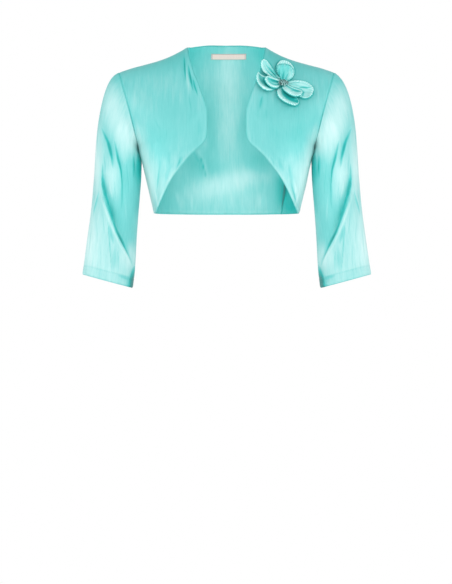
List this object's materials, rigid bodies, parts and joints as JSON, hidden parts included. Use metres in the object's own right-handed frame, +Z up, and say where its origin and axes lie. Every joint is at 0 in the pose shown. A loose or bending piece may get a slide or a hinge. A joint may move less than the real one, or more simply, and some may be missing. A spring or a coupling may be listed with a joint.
{
  "type": "bolero jacket",
  "caption": "Cropped open-fronted jacket with elbow-length sleeves, rounded front edges and a fabric flower on one front.",
  "frame": {"origin": "on the wearer's midline, level with the neck ends of the two shoulder seams and in the plane of the seams", "axes": "+X towards the wearer's left, where the flower is; +Y towards the wearer's back, -Y the front; +Z up"},
  "size_m": [0.5306, 0.1953, 0.4537],
  "materials": {
    "satin": "crinkled satin, soft sheen",
    "petal_satin": "pressed satin petals",
    "label": "plain woven label, bare",
    "beads": "faceted dark silver beads"
  },
  "bodies": {
    "root": {"back": "satin", "front_left": "satin", "front_right": "satin", "sleeve_left": "satin", "sleeve_right": "satin", "neck_label": "label", "petal_outer_top": "petal_satin", "petal_outer_leaf": "petal_satin", "petal_outer_low": "petal_satin", "petal_outer_bottom": "petal_satin", "petal_outer_side": "petal_satin", "petal_inner_top": "petal_satin", "petal_inner_low": "petal_satin", "petal_inner_side": "petal_satin", "bead_cluster": "beads"}
  },
  "joints": []
}
